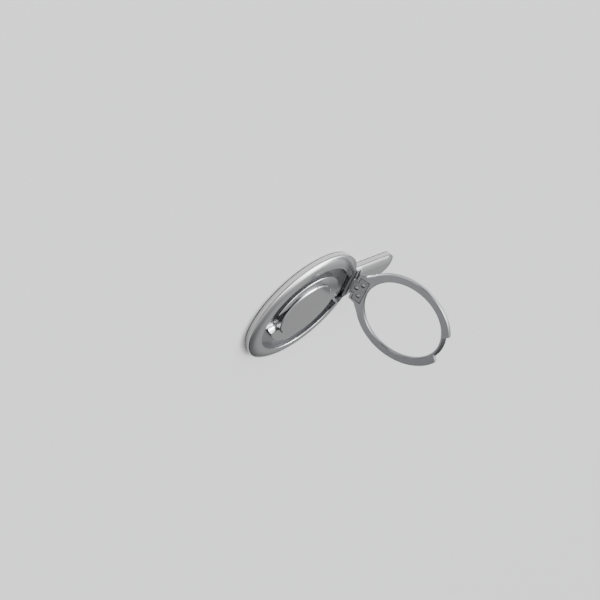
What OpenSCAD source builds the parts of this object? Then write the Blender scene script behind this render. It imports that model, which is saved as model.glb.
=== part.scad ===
// Magnetic ring grip and stand for a handset. A round metal disc with a
// tapered alignment tongue clings to the back of the handset by a ring of
// magnets. A flat steel ring lies in a groove of the disc and swings out on
// a friction hinge, as a finger loop and as a stand.
//
// Millimetres. Origin: centre of the clinging face. +Z points away from the
// handset, +X along the tongue, towards the hinge. Y is across.
// The ring is drawn swung out to open_angle. 0 is folded into its groove.

/* [Disc] */
// radius of the disc at its parting line
disc_r = 28.15; // [28.05:0.05:28.4]
// radius of the disc where its wall starts, just above the pad
foot_r = 27.65; // [27.5:0.05:27.9]
// height of the rim's flat top
rim_top = 4.0; // [3.9:0.05:4.2]
// height of the tray's wall, where the upper shell starts
wall_top = 2.4; // [2.35:0.05:2.45]
// outer radius of the groove that the ring folds into
groove_ro = 22.1; // [22.05:0.05:22.2]
// height of the groove's floor
groove_z = 1.8; // [1.7:0.05:1.85]
// thickness of the soft pad on the clinging face
pad_t = 0.35; // [0.25:0.05:0.35]

/* [Centre] */
// radius of the centre plate
plate_r = 17.4; // [17.2:0.05:17.45]
// height of the centre plate's top
plate_top = 3.8; // [3.6:0.05:3.9]
// radius of the raised cap
cap_r = 13.2; // [12.6:0.1:13.2]
// how far the cap stands above the centre plate
cap_rise = 0.7; // [0.5:0.05:0.9]
// radius of the scoop at the finger pocket's open end
scoop_r = 2.5; // [2.3:0.1:2.8]
// width of the cap's bevel
cap_bevel = 0.5; // [0.4:0.05:0.7]

/* [Tongue] */
// distance from the disc's centre to the tongue's rounded end
tail_end = 52.6; // [51.5:0.1:54]
// half width of the tongue at its root, 29.6 mm from the disc's centre
tail_w = 9.1; // [9.0:0.05:9.3]
// taper of each side of the tongue, in mm per mm
tail_taper = 0.155; // [0.14:0.005:0.175]
// height of the tongue's flat top
tail_top = 3.5; // [3.35:0.05:3.6]

/* [Ring] */
// inner radius of the ring
ring_ri = 17.77; // [17.75:0.01:17.9]
// outer radius of the ring
ring_ro = 21.72; // [21.4:0.01:21.75]
// thickness of the ring
ring_t = 1.5; // [1.4:0.05:1.6]
// bevel on the ring's edges
ring_bevel = 0.28; // [0.15:0.01:0.35]
// radius of the finger notch at the front of the ring's far end
notch_rf = 18.6; // [18.5:0.1:19.2]
// radius of the finger notch at the back of the ring's far end
notch_rb = 19.8; // [19.4:0.1:20.2]

/* [Hinge] */
// distance from the disc's centre to the hinge axis
hinge_x = 26.83; // [26.8:0.01:26.86]
// height of the hinge axis
hinge_z = 2.12; // [2.12:0.01:2.16]
// radius of the hinge pin
pin_r = 0.6; // [0.55:0.01:0.62]
// radial clearance of the pin in the leaf's barrel
pin_gap = 0.04; // [0.02:0.01:0.05]
// how far the ring is swung out, 0 is folded flat
open_angle = 104.4; // [0:0.1:120]

/* [Hidden] */
$fn = 96;
e = 0.01;
// tray
tray_z = pad_t;
floor_z = 0.75;
tray_ri = 26.9;
// shadow gap at the parting line
line_h = 0.25;
line_d = 0.35;
// rounded shoulder of the disc: a broad arc that runs into a small one
sh_flat = 24.3;
sh_big = 7.0;
sh_small = 0.6;
sh_sx = disc_r - sh_small;
sh_sz = (rim_top - sh_big) + sqrt(pow(sh_big - sh_small, 2) - pow(sh_sx - sh_flat, 2));
sh_tx = sh_flat + (sh_sx - sh_flat) * sh_big / (sh_big - sh_small);
// tongue end circle, tangent to both tapered sides
tail_b = atan(tail_taper);
tail_k = (tail_w + tail_taper * 29.6) * cos(tail_b);
tail_xc = (tail_end - tail_k) / (1 - tail_taper * cos(tail_b));
tail_r = tail_end - tail_xc;
// tongue shoulder
ts_in = 3.9;
ts_h = tail_top - wall_top;
ts_r = (ts_in * ts_in + ts_h * ts_h) / (2 * ts_h);
// magnets
mag_ri = 22.9;
mag_ro = 26.5;
mag_z = floor_z;
mag_t = 1.25;
mag_n = 18;
mag_a0 = 22.5;
mag_step = (360 - 2 * mag_a0) / mag_n;
yoke_z = mag_z + mag_t;
yoke_t = 0.3;
cav_z = 2.5;
// slot for the hinge
slot_w = 7.7;
slot_wi = 8.4;
slot_x = 24.55;
// hinge
barrel_r = 1.05;
barrel_w = 4.5;
ear_r = 1.1;
ear_y0 = 4.95;
ear_y1 = 7.2;
brk_z = 1.35;
leaf_t = 0.9;
leaf_x0 = 18.85;
leaf_x1 = 22.8;
leaf_w = 6.1;
tongue_w = 3.1;
leaf_gap = 0.28;
ring_f = hinge_z;
ring_b = hinge_z + ring_t;
lug_x = 24.2;
lug_w = 7.3;
lug_flare = 0.263;
cap_z0 = plate_top - 0.6;
tape_t = 0.1;

// ---- shared shapes ----

// half width of the ring's lug at distance x from the disc's centre
function lug_ws(x) = lug_w + lug_flare * (lug_x - x);

// half width of the tongue at distance x
function tw(x, off = 0) = tail_w - tail_taper * (x - 29.6) + off / cos(tail_b);

// prism over the tongue's outline, grown or shrunk by off
module tongue(z0, z1, off = 0, x0 = 20) {
  r = tail_r + off;
  tx = tail_xc + r * sin(tail_b);
  ty = r * cos(tail_b);
  translate([0, 0, z0]) {
    linear_extrude(height = z1 - z0)
      polygon([[x0, tw(x0, off)], [tx, ty], [tx, -ty], [x0, -tw(x0, off)]]);
    translate([tail_xc, 0, 0]) cylinder(r = r, h = z1 - z0);
  }
}

// countersunk screw, head down at z0, shank up to z1
module csk(x, y, z0, z1, rh, rs, hh) {
  translate([x, y, z0]) {
    cylinder(r1 = rh, r2 = rs, h = hh);
    cylinder(r = rs, h = z1 - z0);
  }
}

// box from one corner to the other
module box(a, b) {
  translate(a) cube(b - a);
}

// swings what is drawn folded out to the open angle
module swung() {
  translate([hinge_x, 0, hinge_z]) rotate([0, open_angle, 0])
    translate([-hinge_x, 0, -hinge_z]) children();
}

// the finger pocket between cap and groove
module pocket() {
  difference() {
    intersection() {
      translate([0, 0, groove_z - 1]) cylinder(r = plate_r + 0.2, h = 5);
      union() {
        translate([0, 0, groove_z - 1]) linear_extrude(height = 5)
          polygon([[-20, 2.6], [-16.9, 3.8], [-11, 6.0], [-9, 6.0], [-9, -4.0], [-20, -5.0]]);
        // end nearer the cap's light side
        translate([-16.51, 5.14, 0]) rotate([0, 0, 21.2]) {
          translate([-3, -1.2, groove_z - 0.05 + 1.2]) rotate([0, 90, 0]) cylinder(r = 1.2, h = 12);
          translate([-3, -1.8, groove_z + 1.15]) cube([12, 1.8, 4]);
        }
        // scooped end
        translate([-15.68, -6.88, 0]) rotate([0, 0, 4.94])
          translate([-5, scoop_r - 0.05, groove_z - 0.05 + scoop_r]) rotate([0, 90, 0]) cylinder(r = scoop_r, h = 14);
      }
    }
    translate([0, 0, groove_z - 2]) cylinder(r = cap_r + 0.05, h = 8);
  }
}

// ---- base ----

// thin soft pad that touches the handset
module back_pad() {
  color([0.16, 0.16, 0.17]) {
    cylinder(r = foot_r - 0.15, h = pad_t);
    tongue(0, pad_t, -0.2);
  }
}

base_pts = [for (a = [45, 135, 225, 315]) [19.8 * cos(a), 19.8 * sin(a)]];
tail_pts = [[31.4, 5.2], [31.4, -5.2], [49.4, 0]];

// tray: floor and wall of disc and tongue in one piece
module base_tray() {
  color([0.60, 0.59, 0.58]) difference() {
    union() {
      translate([0, 0, tray_z]) cylinder(r1 = foot_r, r2 = disc_r - 0.15, h = wall_top - line_h - tray_z);
      translate([0, 0, wall_top - line_h - e]) cylinder(r = disc_r - line_d, h = line_h + e);
      tongue(tray_z, wall_top - line_h, 0);
      tongue(wall_top - line_h - e, wall_top, -line_d);
    }
    translate([0, 0, floor_z]) cylinder(r = tray_ri, h = 5);
    intersection() {
      tongue(floor_z, 5, -1.0);
      box([29.3, -12, 0], [60, 12, 6]);
    }
    box([20, -slot_w, floor_z], [28.4, slot_w, 5]);
    for (p = base_pts) csk(p[0], p[1], tray_z - e, 1, 1.15, 0.6, 0.4);
    for (p = tail_pts) csk(p[0], p[1], tray_z - e, 1, 1.15, 0.6, 0.4);
  }
}

// open ring of curved magnets
module array_magnets() {
  color([0.72, 0.72, 0.74])
    for (i = [0 : mag_n - 1])
      rotate([0, 0, mag_a0 + i * mag_step + 0.25])
        translate([0, 0, mag_z]) rotate_extrude(angle = mag_step - 0.5)
          translate([mag_ri, 0]) square([mag_ro - mag_ri, mag_t]);
}

// thin steel ring that closes the magnets' field on the far side
module array_yoke() {
  color([0.5, 0.5, 0.52]) rotate([0, 0, mag_a0])
    translate([0, 0, yoke_z]) rotate_extrude(angle = 360 - 2 * mag_a0)
      translate([mag_ri - 0.1, 0]) square([mag_ro - mag_ri + 0.2, yoke_t]);
}

// bar magnet that lines the tongue up
module tail_magnet() {
  color([0.72, 0.72, 0.74]) box([33.2, -4.2, mag_z], [47.2, 4.2, mag_z + mag_t]);
}

module tail_yoke() {
  color([0.5, 0.5, 0.52]) box([33.0, -4.4, yoke_z], [47.4, 4.4, yoke_z + yoke_t]);
}

// profile of the rim, in radius and height
module rim_profile() {
  polygon([[groove_ro, wall_top], [sh_flat, wall_top], [sh_flat, rim_top],
           [groove_ro + 0.12, rim_top], [groove_ro, rim_top - 0.12]]);
  intersection() {
    translate([sh_flat, rim_top - sh_big]) circle(r = sh_big);
    translate([sh_flat - e, wall_top]) square([sh_tx - sh_flat + e, 3]);
  }
  intersection() {
    translate([sh_sx, sh_sz]) circle(r = sh_small);
    translate([sh_sx - 0.1, sh_sz]) square([1, 1]);
  }
  translate([sh_sx - 0.1, wall_top]) square([sh_small + 0.1, sh_sz - wall_top]);
}

// upper shell of the disc: rim, shoulder, groove and hinge slot
module rim_shell() {
  color([0.62, 0.62, 0.63]) difference() {
    union() {
      difference() {
        rotate_extrude() rim_profile();
        translate([0, 0, 0]) cylinder(r = tray_ri, h = cav_z);
      }
      difference() {
        translate([0, 0, floor_z]) cylinder(r = 22.55, h = cav_z - floor_z + 0.1);
        translate([0, 0, groove_z]) cylinder(r = groove_ro, h = 5);
      }
      for (s = [-1, 1]) intersection() {
        box([18, s > 0 ? slot_w : -slot_wi - 0.1, floor_z], [26.8, s > 0 ? slot_wi + 0.1 : -slot_w, cav_z + 0.1]);
        translate([0, 0, floor_z]) cylinder(r = tray_ri - 0.1, h = 5);
      }
      box([18, -slot_w - 0.3, floor_z], [slot_x, slot_w + 0.3, groove_z]);
    }
    // room for the ring's lug and for the hinge
    translate([0, 0, groove_z]) linear_extrude(height = 5)
      polygon([[17, 12.4], [18.25, 12.39], [21.6, slot_wi - 0.18], [slot_x, slot_w], [30, slot_w],
               [30, -slot_w], [slot_x, -slot_w], [21.6, 0.18 - slot_wi], [18.25, -12.39], [17, -12.4]]);
    box([slot_x, -slot_w, 0], [30, slot_w, 6]);
    // seat of the hinge bracket
    box([14.9, -ear_y1 - 0.05, 0], [30, ear_y1 + 0.05, brk_z]);
    for (p = base_pts) translate([p[0], p[1], 0]) cylinder(r = 0.6, h = 1.5);
    for (a = [60, 180, 300]) translate([8 * cos(a), 8 * sin(a), 0]) {
      cylinder(r = 1.55, h = 1.25);
      cylinder(r = 0.8, h = 3);
    }
    for (s = [-1, 1]) translate([16.3, s * 4.6, 0]) cylinder(r = 0.6, h = 3);
  }
}

// side of the tongue's cover: half its profile, drawn along one tapered side
module tail_side(x0) {
  rotate([0, 0, tail_b]) rotate([90, 0, -90])
    linear_extrude(height = tail_xc - x0 + 8) tail_profile();
}

// half profile of the tongue's cover, from its middle to its edge
module tail_profile() {
  translate([0, wall_top]) square([tail_r - ts_in, ts_h]);
  intersection() {
    translate([tail_r - ts_in, tail_top - ts_r]) circle(r = ts_r);
    translate([tail_r - ts_in - e, wall_top]) square([ts_in + e, ts_h + 1]);
  }
}

// cover of the tongue, with a rounded edge and three screw bosses
module tail_cover() {
  color([0.62, 0.62, 0.63]) difference() {
    union() {
      translate([tail_xc, 0, 0]) {
        rotate([0, 0, tail_b - 90]) rotate_extrude(angle = 180 - 2 * tail_b) tail_profile();
        tail_side(20);
        mirror([0, 1, 0]) tail_side(20);
      }
      translate([0, 0, wall_top]) linear_extrude(height = ts_h)
        polygon([[tail_xc, 0], [24, tan(tail_b) * (tail_xc - 24) + 0.6],
                 [24, -tan(tail_b) * (tail_xc - 24) - 0.6]]);
      for (p = tail_pts) translate([p[0], p[1], floor_z]) cylinder(r = 1.3, h = wall_top - floor_z + 0.1);
    }
    translate([0, 0, -1]) cylinder(r = disc_r + 0.1, h = 8);
    box([10, -slot_w, 0], [28.4, slot_w, 6]);
    box([10, -3.7, 1], [29.0, 3.7, 6]);
    // room for the lug's corner when the ring is swung right out
    box([28, -slot_w, 3.0], [29.9, slot_w, 6]);
    for (p = tail_pts) translate([p[0], p[1], 0]) cylinder(r = 0.6, h = 2.3);
  }
}

// raised plate inside the groove
module centre_plate() {
  color([0.62, 0.62, 0.63]) difference() {
    union() {
      translate([0, 0, groove_z]) cylinder(r = plate_r, h = plate_top - groove_z - 0.12);
      translate([0, 0, plate_top - 0.12]) cylinder(r1 = plate_r, r2 = plate_r - 0.12, h = 0.12);
    }
    translate([0, 0, cap_z0]) cylinder(r = cap_r + 0.05, h = 3);
    pocket();
    for (a = [60, 180, 300]) translate([8 * cos(a), 8 * sin(a), 0]) cylinder(r = 0.8, h = 3.0);
    for (s = [-1, 1]) translate([16.3, s * 4.6, 0]) cylinder(r = 0.6, h = 2.9);
  }
}

// three screws that hold the centre plate from below
module plate_screws() {
  color([0.4, 0.4, 0.42]) for (a = [60, 180, 300])
    translate([8 * cos(a), 8 * sin(a), 0]) difference() {
      union() {
        translate([0, 0, 0.8]) cylinder(r = 1.5, h = 0.45);
        translate([0, 0, 1.2]) cylinder(r = 0.8, h = 1.7);
      }
      translate([0, 0, 0.7]) cylinder(r = 0.7, h = 0.35, $fn = 6);
    }
}

module cap_tape() {
  color([0.9, 0.9, 0.88]) translate([0, 0, cap_z0]) cylinder(r = cap_r - 0.3, h = tape_t);
}

// raised round cap with a bevelled edge
module centre_cap() {
  z0 = cap_z0 + tape_t;
  z1 = plate_top + cap_rise;
  color([0.66, 0.66, 0.67]) {
    translate([0, 0, z0]) cylinder(r = cap_r, h = z1 - z0 - 0.3);
    translate([0, 0, z1 - 0.3]) cylinder(r1 = cap_r, r2 = cap_r - cap_bevel, h = 0.3);
  }
}

// four screws that join tray and shell, and three for the tongue's cover
module base_screws() {
  color([0.4, 0.4, 0.42]) {
    for (p = base_pts) csk(p[0], p[1], tray_z, 1.45, 1.13, 0.6, 0.38);
    for (p = tail_pts) csk(p[0], p[1], tray_z, 2.2, 1.13, 0.6, 0.38);
  }
}

// ---- hinge ----

// bracket with two ears that carry the pin
module hinge_bracket() {
  color([0.45, 0.45, 0.47]) difference() {
    union() {
      box([15, -ear_y1, floor_z], [24.6, ear_y1, brk_z]);
      for (s = [-1, 1]) {
        box([24, s > 0 ? ear_y0 : -ear_y1, floor_z], [hinge_x + ear_r, s > 0 ? ear_y1 : -ear_y0, brk_z]);
        box([hinge_x - ear_r, s > 0 ? ear_y0 : -ear_y1, floor_z], [hinge_x + ear_r, s > 0 ? ear_y1 : -ear_y0, hinge_z]);
        translate([hinge_x, s > 0 ? ear_y1 : -ear_y0, hinge_z]) rotate([90, 0, 0]) cylinder(r = ear_r, h = ear_y1 - ear_y0);
      }
    }
    translate([hinge_x, 10, hinge_z]) rotate([90, 0, 0]) cylinder(r = pin_r, h = 20);
    for (s = [-1, 1]) csk(16.3, s * 4.6, floor_z - e, 3, 1.1, 0.6, 0.42);
    for (p = base_pts) translate([p[0], p[1], 0]) cylinder(r = 0.8, h = 3);
  }
}

module bracket_screws() {
  color([0.4, 0.4, 0.42]) for (s = [-1, 1]) csk(16.3, s * 4.6, floor_z, 2.8, 1.08, 0.6, 0.4);
}

module hinge_pin() {
  color([0.55, 0.55, 0.57]) translate([hinge_x, 7.55, hinge_z]) rotate([90, 0, 0]) cylinder(r = pin_r, h = 15.1);
}

// spring clips on both ends of the pin
module pin_clips() {
  color([0.3, 0.3, 0.32]) for (s = [-1, 1])
    translate([hinge_x, s > 0 ? 7.48 : -7.24, hinge_z]) rotate([90, 0, 0]) difference() {
      cylinder(r = 1.0, h = 0.24);
      translate([0, 0, -1]) cylinder(r = pin_r, h = 3);
    }
}

// washers that press on the barrel and give the hinge its drag
module friction_washers() {
  color([0.3, 0.3, 0.31]) for (s = [-1, 1])
    translate([hinge_x, s > 0 ? 4.93 : -4.55, hinge_z]) rotate([90, 0, 0]) difference() {
      cylinder(r = 0.98, h = 0.38);
      translate([0, 0, -1]) cylinder(r = pin_r, h = 3);
    }
}

leaf_pts = [[20.85, 3.2], [20.85, -3.2], [22.85, 0]];

// T-shaped leaf: barrel round the pin, narrow neck, wide plate let into the ring
module hinge_leaf() {
  color([0.42, 0.42, 0.44]) swung() difference() {
    union() {
      translate([hinge_x, barrel_w, hinge_z]) rotate([90, 0, 0]) cylinder(r = barrel_r, h = 2 * barrel_w);
      box([leaf_x1 - 1, -tongue_w, ring_f], [hinge_x, tongue_w, ring_f + leaf_t]);
      translate([0, 0, ring_f]) linear_extrude(height = leaf_t) {
        translate([leaf_x0, -leaf_w + 0.5]) square([leaf_x1 - leaf_x0, 2 * leaf_w - 1]);
        translate([leaf_x0 + 0.5, -leaf_w]) square([leaf_x1 - leaf_x0 - 1, 2 * leaf_w]);
        for (x = [leaf_x0 + 0.5, leaf_x1 - 0.5], y = [-leaf_w + 0.5, leaf_w - 0.5])
          translate([x, y]) circle(r = 0.5);
      }
    }
    translate([hinge_x, 10, hinge_z]) rotate([90, 0, 0]) cylinder(r = pin_r + pin_gap, h = 20);
    // relief beside the barrel
    box([hinge_x - 1.5, -5, 0], [hinge_x - 1.02, 5, ring_f + 0.3]);
    for (p = leaf_pts) translate([p[0], p[1], 0]) {
      cylinder(r = 0.55, h = 5);
      cylinder(r = 1.0, h = ring_f + 0.55);
    }
  }
}

// three small screws that fix the leaf to the ring
module leaf_screws() {
  color([0.7, 0.7, 0.72]) swung() for (p = leaf_pts) translate([p[0], p[1], 0]) difference() {
    union() {
      translate([0, 0, ring_f + 0.14]) cylinder(r1 = 0.45, r2 = 0.76, h = 0.18);
      translate([0, 0, ring_f + 0.32]) cylinder(r = 0.76, h = 0.23);
      translate([0, 0, ring_f + 0.55]) cylinder(r = 0.5, h = 0.75);
    }
    translate([0, 0, ring_f]) cylinder(r = 0.28, h = 0.34, $fn = 6);
  }
}

// flat plate of convex outline with both its faces bevelled all round
module bevelled(pts) {
  hull() {
    translate([0, 0, ring_f + ring_bevel]) linear_extrude(height = ring_t - 2 * ring_bevel) polygon(pts);
    translate([0, 0, ring_f]) linear_extrude(height = ring_t) offset(delta = -ring_bevel) polygon(pts);
  }
}

// flat ring with bevelled edges, a flared lug and a finger notch
module grip_ring() {
  b = ring_bevel;
  color([0.45, 0.46, 0.48]) swung() difference() {
    union() {
      rotate_extrude() polygon([[ring_ri + b, ring_f], [ring_ro - b, ring_f],
        [ring_ro, ring_f + b], [ring_ro, ring_b - b], [ring_ro - b, ring_b],
        [ring_ri + b, ring_b], [ring_ri, ring_b - b], [ring_ri, ring_f + b]]);
      bevelled([[lug_x, lug_w], [19, lug_ws(19)], [19, -lug_ws(19)], [lug_x, -lug_w]]);
      for (m = [0, 1]) mirror([0, m, 0])
        bevelled([[18.3, 11.69], [21.2, lug_ws(21.2)], [21.2, 6.5], [18.0, 6.5]]);
    }
    // seat of the leaf
    box([leaf_x0 - leaf_gap, -leaf_w - leaf_gap, 0], [leaf_x1 + leaf_gap, leaf_w + leaf_gap, ring_f + leaf_t]);
    box([leaf_x1, -tongue_w - leaf_gap, 0], [30, tongue_w + leaf_gap, ring_f + leaf_t]);
    for (p = leaf_pts) translate([p[0], p[1], 0]) cylinder(r = 0.5, h = ring_f + 1.3);
    // finger notch: the outer edge cut back along a cone
    difference() {
      linear_extrude(height = 6)
        polygon([[-15, 2.0], [-24.8, 13.1], [-24.8, -13.1], [-15, -2.0]]);
      translate([0, 0, ring_f - 1]) cylinder(
        r1 = notch_rf - (notch_rb - notch_rf) / ring_t,
        r2 = notch_rb + (notch_rb - notch_rf) / ring_t, h = ring_t + 2);
    }
  }
}

back_pad();
base_tray();
array_magnets();
array_yoke();
tail_magnet();
tail_yoke();
rim_shell();
tail_cover();
centre_plate();
plate_screws();
cap_tape();
centre_cap();
base_screws();
hinge_bracket();
bracket_screws();
hinge_pin();
pin_clips();
friction_washers();
hinge_leaf();
leaf_screws();
grip_ring();
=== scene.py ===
import math

import bpy
from mathutils import Matrix, Vector

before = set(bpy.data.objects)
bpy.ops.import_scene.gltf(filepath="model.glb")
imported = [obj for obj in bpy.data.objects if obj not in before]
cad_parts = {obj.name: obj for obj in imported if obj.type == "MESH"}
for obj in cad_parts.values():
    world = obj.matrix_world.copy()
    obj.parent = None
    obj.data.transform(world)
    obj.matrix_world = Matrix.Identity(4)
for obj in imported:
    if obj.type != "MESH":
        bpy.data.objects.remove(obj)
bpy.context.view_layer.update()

MM = 0.001
HINGE = (26.83 * MM, 0.0, 2.12 * MM)
OPEN = math.radians(104.4)


# ---------------------------------------------------------------- materials

class Nodes:
    """Short hand for building a node tree."""

    def __init__(self, name):
        self.mat = bpy.data.materials.new(name)
        self.mat.use_nodes = True
        self.t = self.mat.node_tree
        self.t.nodes.clear()
        self.x = 0

    def add(self, kind, **props):
        n = self.t.nodes.new(kind)
        n.location = (self.x, 0)
        self.x += 180
        for k, v in props.items():
            setattr(n, k, v)
        return n

    def link(self, a, b):
        self.t.links.new(a, b)

    def math(self, op, a, b=None, clamp=False):
        n = self.add("ShaderNodeMath", operation=op, use_clamp=clamp)
        for i, v in enumerate((a, b)):
            if v is None:
                continue
            if isinstance(v, (int, float)):
                n.inputs[i].default_value = v
            else:
                self.link(v, n.inputs[i])
        return n.outputs[0]

    def ramp(self, fac, stops, interp="LINEAR"):
        n = self.add("ShaderNodeValToRGB")
        n.color_ramp.interpolation = interp
        els = n.color_ramp.elements
        while len(els) < len(stops):
            els.new(0.5)
        for e, (p, c) in zip(els, stops):
            e.position = p
            e.color = (*c, 1) if len(c) == 3 else c
        self.link(fac, n.inputs[0])
        return n.outputs[0]

    def grey(self, fac, stops):
        return self.ramp(fac, [(p, (v, v, v)) for p, v in stops])

    def coords(self):
        return self.add("ShaderNodeTexCoord").outputs["Object"]

    def noise(self, vec, scale, detail=3.0, rough=0.5):
        n = self.add("ShaderNodeTexNoise")
        n.inputs["Scale"].default_value = scale
        n.inputs["Detail"].default_value = detail
        n.inputs["Roughness"].default_value = rough
        self.link(vec, n.inputs["Vector"])
        return n.outputs["Fac"]

    def mix(self, fac, a, b, blend="MIX"):
        n = self.add("ShaderNodeMix", data_type="RGBA", blend_type=blend)
        for i, v in ((0, fac), (6, a), (7, b)):
            if isinstance(v, (int, float)):
                n.inputs[i].default_value = v
            elif isinstance(v, tuple):
                n.inputs[i].default_value = (*v, 1)
            else:
                self.link(v, n.inputs[i])
        return n.outputs[2]

    def object_normal(self):
        g = self.add("ShaderNodeNewGeometry")
        t = self.add("ShaderNodeVectorTransform", vector_type="NORMAL",
                     convert_from="WORLD", convert_to="OBJECT")
        self.link(g.outputs["Normal"], t.inputs[0])
        return t.outputs[0]

    def dot(self, a, vec):
        n = self.add("ShaderNodeVectorMath", operation="DOT_PRODUCT")
        self.link(a, n.inputs[0])
        n.inputs[1].default_value = vec
        return n.outputs["Value"]

    def finish(self, **sockets):
        b = self.add("ShaderNodeBsdfPrincipled")
        for k, v in sockets.items():
            s = b.inputs[k.replace("_", " ")]
            if isinstance(v, (int, float)):
                s.default_value = v
            elif isinstance(v, tuple):
                s.default_value = (*v, 1) if len(v) == 3 and s.type == "RGBA" else v
            else:
                self.link(v, s)
        o = self.add("ShaderNodeOutputMaterial")
        self.link(b.outputs[0], o.inputs[0])
        return self.mat

    def bump(self, height, distance, strength=1.0):
        n = self.add("ShaderNodeBump")
        n.inputs["Strength"].default_value = strength
        n.inputs["Distance"].default_value = distance
        self.link(height, n.inputs["Height"])
        return n.outputs[0]


def radius(n, co, swung=False):
    """Distance in mm from the disc's axis, or from the ring's own axis."""
    if swung:
        # along the ring's plane: Y and the direction away from the hinge
        d = (-math.cos(OPEN), 0.0, math.sin(OPEN))
        c = (HINGE[0] + d[0] * HINGE[0], 0.0, HINGE[2] + d[2] * HINGE[0])
        u = n.math("SUBTRACT", n.dot(co, d), sum(a * b for a, b in zip(c, d)))
        y = n.dot(co, (0, 1, 0))
        r2 = n.math("ADD", n.math("MULTIPLY", u, u), n.math("MULTIPLY", y, y))
    else:
        x = n.dot(co, (1, 0, 0))
        y = n.dot(co, (0, 1, 0))
        r2 = n.math("ADD", n.math("MULTIPLY", x, x), n.math("MULTIPLY", y, y))
    return n.math("MULTIPLY", n.math("SQRT", r2), 1000.0)


def satin(name, base, rough, grain=14000.0, bump=0.000001, tint=0.02, polish=None,
          polish_rough=0.1, painted_bevel_light_mix=0.35, painted_bevel_light_colour=(0.9, 0.9, 0.91), axis=(0, 0, 1),
          zones=None, slot=None, split=None):
    """Blasted metal with a fine grain. polish=(low, high): faces whose normal
    has that share along axis are bevels and are bright cut with polish_rough; their
    colour is also mixed towards a given colour by a given share, which is painted
    light: a painted highlight with the near-white default, painted shade with a
    dark colour. zones: recessed faces, gaps and walls darkened with painted shade,
    as (inner radius, outer radius, lowest, highest, darkness, roughness) in mm from
    the disc's axis and its clinging face. slot: the same painted shade for a recess
    across the disc, as (from x, half width, darkness, roughness). split: only nearer
    than this to the ring's own axis, or at the lug, the bevel and also the side turn
    towards that painted colour."""
    n = Nodes(name)
    co = n.coords()
    fine = n.noise(co, grain, 2.0, 0.6)
    broad = n.noise(co, 55.0, 3.0, 0.5)
    wear = n.noise(co, 2600.0, 4.0, 0.6)
    lo = tuple(c * (1 - tint) for c in base)
    hi = tuple(min(1.0, c * (1 + tint)) for c in base)
    col = n.mix(n.grey(broad, [(0.3, 0.0), (0.7, 1.0)]), lo, hi)
    col = n.mix(n.math("MULTIPLY", n.grey(fine, [(0.35, 0.0), (0.65, 1.0)]), 0.06), col,
                tuple(c * 0.75 for c in base))
    r = n.math("ADD", rough, n.math("MULTIPLY", n.math("SUBTRACT", wear, 0.5), 0.02))
    r = n.math("ADD", r, n.math("MULTIPLY", n.math("SUBTRACT", fine, 0.5), 0.03))
    h = fine
    # painted shade: each zone's faces in recesses, gaps and along walls are darkened towards a near-black
    # blue-grey by their darkness, and their roughness is set too
    if zones:
        rad = radius(n, co)
        high = n.math("MULTIPLY", n.dot(co, (0, 0, 1)), 1000.0)
        for r0, r1, z0, z1, dark, br in zones:
            m = n.math("MULTIPLY", n.math("GREATER_THAN", rad, r0), n.math("LESS_THAN", rad, r1))
            m = n.math("MULTIPLY", m, n.math("GREATER_THAN", high, z0))
            m = n.math("MULTIPLY", m, n.math("LESS_THAN", high, z1))
            inv = n.math("SUBTRACT", 1.0, m)
            r = n.math("ADD", n.math("MULTIPLY", r, inv), n.math("MULTIPLY", m, br))
            # painted shade colour: the near-black blue-grey that the darkened faces are mixed towards
            col = n.mix(n.math("MULTIPLY", m, dark), col, (0.045, 0.047, 0.058))
    # painted shade: faces in the hinge slot (beyond x, within the half width) are darkened towards the same
    # near-black blue-grey, and their roughness is set too
    if slot:
        x0, w, dark, br = slot
        m = n.math("GREATER_THAN", n.dot(co, (1, 0, 0)), x0 * MM)
        m = n.math("MULTIPLY", m, n.math("LESS_THAN", n.math("ABSOLUTE", n.dot(co, (0, 1, 0))), w * MM))
        inv = n.math("SUBTRACT", 1.0, m)
        r = n.math("ADD", n.math("MULTIPLY", r, inv), n.math("MULTIPLY", m, br))
        col = n.mix(n.math("MULTIPLY", m, dark), col, (0.045, 0.047, 0.058))
    if polish:
        k = n.math("ABSOLUTE", n.dot(n.object_normal(), axis))
        m = n.math("MULTIPLY", n.math("GREATER_THAN", k, polish[0]), n.math("LESS_THAN", k, polish[1]))
        inv = n.math("SUBTRACT", 1.0, m)
        r = n.math("ADD", n.math("MULTIPLY", r, inv), n.math("MULTIPLY", m, polish_rough))
        h = n.math("MULTIPLY", h, n.math("ADD", inv, 0.1))
        # where the painted bevel colour goes: bevels and sides nearer than split to the ring's axis, or at the
        # lug
        if split:
            outer = n.math("GREATER_THAN", radius(n, co, swung=True), split)
            edge = n.math("MAXIMUM", m, n.math("LESS_THAN", k, polish[0]))
            lug = n.math("LESS_THAN", n.dot(co, (0, 0, 1)), 9.5 * MM)
            m = n.math("MULTIPLY", edge, n.math("MAXIMUM", lug, n.math("SUBTRACT", 1.0, outer)))
        # painted light on the bevels: their colour is mixed towards a given colour, a painted highlight when it
        # is near white and painted shade when it is dark
        col = n.mix(n.math("MULTIPLY", m, painted_bevel_light_mix), col, painted_bevel_light_colour)
    r = n.math("MAXIMUM", r, 0.05)
    return n.finish(Base_Color=col, Metallic=1.0, Roughness=r, Normal=n.bump(h, bump))


def rubber(name, base):
    n = Nodes(name)
    co = n.coords()
    f = n.noise(co, 5200.0, 3.0, 0.6)
    b = n.noise(co, 260.0, 4.0)
    col = n.mix(b, tuple(c * 0.8 for c in base), tuple(c * 1.25 for c in base))
    r = n.math("ADD", 0.55, n.math("MULTIPLY", f, 0.25))
    return n.finish(Base_Color=col, Roughness=r, Normal=n.bump(f, 0.00002, 0.6))


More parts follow.
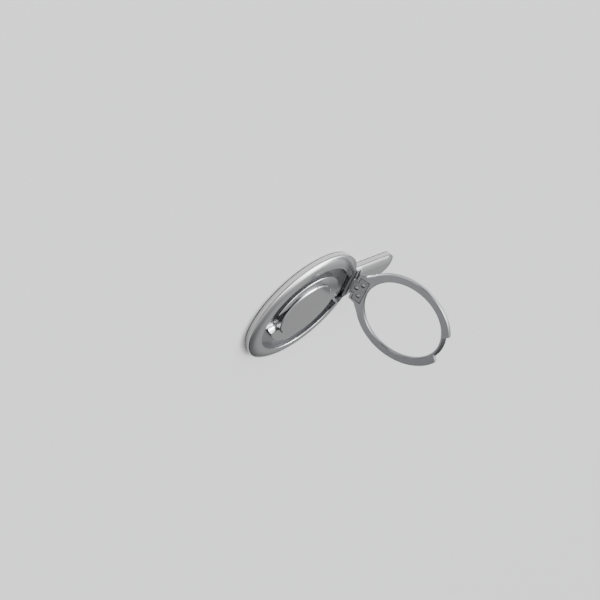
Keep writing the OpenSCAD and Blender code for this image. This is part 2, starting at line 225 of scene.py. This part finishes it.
GREY = (0.55, 0.55, 0.555)
RING_AXIS = (-math.sin(OPEN), 0, -math.cos(OPEN))
UNSHADED_BAND = (2.93, 3.17)      # the band where the painted shade on the groove's walls stops, so that it shows as a thin bright line
mats = {
    # painted shade: the tail cover's faces in the parting gap are nearly black, and the crease at the tail's
    # root is darkened
    "shell": satin("shell_satin", GREY, 0.14, zones=[
        (30, 60, 0, 2.41, 0.95, 0.3), (27.9, 31.5, 2.0, 3.49, 0.3, 0.4)]),
    # painted shade: the rim's groove floor and walls, its floor by the pocket, its faces in the parting gap and
    # the hinge slot are darkened
    "rim": satin("rim_satin", GREY, 0.19, zones=[
        (16.0, 24.1, 1.3, 1.9, 0.45, 0.26), (16.0, 22.25, 1.9, UNSHADED_BAND[0], 0.72, 0.42),
        (16.0, 22.25, UNSHADED_BAND[1], 3.8, 0.72, 0.42), (22.25, 24.9, 1.9, 3.85, 0.6, 0.25),
        (12.0, 16.0, 1.3, 1.9, 0.3, 0.18), (24.1, 29.0, 0.5, 2.41, 0.95, 0.3)],
        slot=(23.9, 7.75, 0.5, 0.3)),
    # painted shade: the plate's wall in the groove, its faces next to the cap and the pocket floor are darkened
    "plate": satin("plate_satin", GREY, 0.20, zones=[
        (17.3, 17.6, 1.0, UNSHADED_BAND[0], 0.7, 0.4), (17.3, 17.6, UNSHADED_BAND[1], 3.66, 0.7, 0.4),
        (13.1, 13.35, 1.6, 3.3, 0.45, 0.16), (13.35, 17.6, 1.6, 1.9, 0.3, 0.18)]),
    # painted shade: the cap's side wall is darkened; its bevels only get a lower roughness, no colour
    "cap": satin("cap_satin", GREY, 0.17, polish=(0.6, 0.97), polish_rough=0.08, painted_bevel_light_mix=0.0,
                 zones=[(13.1, 13.3, 0, 3.8, 0.65, 0.14), (13.1, 13.3, 3.8, 4.17, 0.65, 0.14)]),
    # painted shade: the tray's faces in the parting gap are nearly black
    "tray": satin("tray_satin", (0.56, 0.558, 0.552), 0.20, zones=[(0, 60, 2.13, 2.6, 0.95, 0.3)]),
    # painted shade: the ring's bevels and sides at its inner edge and at the lug are mixed towards near-black,
    # so they show as dark as the face
    "ring": satin("ring_satin", (0.385, 0.388, 0.402), 0.17, bump=0.0000006, polish=(0.02, 0.97),
                  polish_rough=0.24, painted_bevel_light_mix=0.6, painted_bevel_light_colour=(0.13, 0.13, 0.135),
                  axis=RING_AXIS, split=19.7),
    "leaf": satin("leaf_satin", (0.29, 0.292, 0.30), 0.18),
    "dark": satin("hinge_dark_steel", (0.28, 0.28, 0.29), 0.24),
    "clip": satin("dark_spring_steel", (0.12, 0.12, 0.125), 0.3),
    "pin": satin("pin_ground_steel", (0.5, 0.5, 0.52), 0.16),
    "screw": satin("screw_steel", (0.45, 0.45, 0.47), 0.22),
    "bright": satin("leaf_screw_bright", (0.62, 0.62, 0.64), 0.12),
    "magnet": satin("nickel_plate", (0.66, 0.65, 0.62), 0.14),
    "yoke": satin("yoke_plain", (0.42, 0.42, 0.43), 0.35),
    "pad": rubber("pad_soft", (0.022, 0.022, 0.024)),
    "tape": rubber("tape_film", (0.6, 0.6, 0.56)),
}
use = {
    "back_pad": "pad", "base_tray": "tray", "array_magnets": "magnet", "array_yoke": "yoke",
    "tail_magnet": "magnet", "tail_yoke": "yoke", "rim_shell": "rim", "tail_cover": "shell",
    "centre_plate": "plate", "plate_screws": "screw", "cap_tape": "tape", "centre_cap": "cap",
    "base_screws": "screw", "hinge_bracket": "dark", "bracket_screws": "screw", "hinge_pin": "pin",
    "pin_clips": "clip", "friction_washers": "clip", "hinge_leaf": "leaf",
    "leaf_screws": "bright", "grip_ring": "ring",
}
for node, key in use.items():
    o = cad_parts[node]
    for s in o.material_slots:
        s.material = mats[key]

# ---------------------------------------------------------------- stage

me = bpy.data.meshes.new("floor")
S = 6.0
me.from_pydata([(-S, -S, -0.00002), (S, -S, -0.00002), (S, S, -0.00002), (-S, S, -0.00002)], [], [(0, 1, 2, 3)])
floor = bpy.data.objects.new("floor", me)
bpy.context.scene.collection.objects.link(floor)
n = Nodes("floor_paper")
f = n.noise(n.coords(), 900.0, 3.0)
me.materials.append(n.finish(Base_Color=n.mix(f, (0.40, 0.40, 0.402), (0.43, 0.43, 0.432)), Roughness=0.6,
                             Specular_IOR_Level=0.2))

world = bpy.data.worlds.new("studio")
bpy.context.scene.world = world
world.use_nodes = True
wt = world.node_tree
wt.nodes.clear()


def lobe_sum(base, lobes, shade):
    """Soft light that comes from a few broad directions: (azimuth, elevation,
    tightness, strength). shade is a direction in which the studio is dark."""
    def mth(op, a, b=None):
        m = wt.nodes.new("ShaderNodeMath")
        m.operation = op
        for i, v in enumerate((a, b)):
            if v is None:
                continue
            if isinstance(v, (int, float)):
                m.inputs[i].default_value = v
            else:
                wt.links.new(v, m.inputs[i])
        return m.outputs[0]
    tc = wt.nodes.new("ShaderNodeTexCoord").outputs["Generated"]

    def lobe(az, el, k):
        az, el = math.radians(az), math.radians(el)
        dp = wt.nodes.new("ShaderNodeVectorMath")
        dp.operation = "DOT_PRODUCT"
        wt.links.new(tc, dp.inputs[0])
        dp.inputs[1].default_value = (math.cos(el) * math.cos(az), math.cos(el) * math.sin(az), math.sin(el))
        return mth("EXPONENT", mth("MULTIPLY", mth("SUBTRACT", dp.outputs["Value"], 1.0), k))

    total = base
    for az, el, k, amp in lobes:
        total = mth("ADD", mth("MULTIPLY", lobe(az, el, k), amp), total)
    az, el, k, amp = shade
    return mth("MULTIPLY", total, mth("SUBTRACT", 1.0, mth("MULTIPLY", lobe(az, el, k), amp)))


bgn = wt.nodes.new("ShaderNodeBackground")
bgn.inputs[0].default_value = (0.985, 0.99, 1.0, 1)
sky = lobe_sum(0.055, [
    (80, 24, 3.8, 6.6),
    (20, 57, 26.0, 24.0),
    (-136, 56, 12.8, 1.1),
    (-35, 28, 11.0, 0.62),
    (131, 60, 24.0, 8.0),
    (-143, 3, 90.0, 0.95),
], shade=(131, 12, 11.0, 0.95))
wt.links.new(sky, bgn.inputs[1])
wo = wt.nodes.new("ShaderNodeOutputWorld")
wt.links.new(bgn.outputs[0], wo.inputs[0])

# the photograph's own viewpoint, solved from the handset's edges
right = Vector((0.70072, 0.31106, 0.64205))
up = Vector((0.35284, 0.63107, -0.69083))
back = Vector((-0.62007, 0.71063, 0.33245))
cam = bpy.data.cameras.new("camera")
cam.sensor_width = 36.0
cam.lens = 130.47
cam.clip_start = 0.01
cam.clip_end = 50.0
co = bpy.data.objects.new("camera", cam)
bpy.context.scene.collection.objects.link(co)
M = Matrix((
    (right.x, up.x, back.x, -0.5354),
    (right.y, up.y, back.y, 0.6151),
    (right.z, up.z, back.z, 0.2872),
    (0, 0, 0, 1),
))
co.matrix_world = M
bpy.context.scene.camera = co
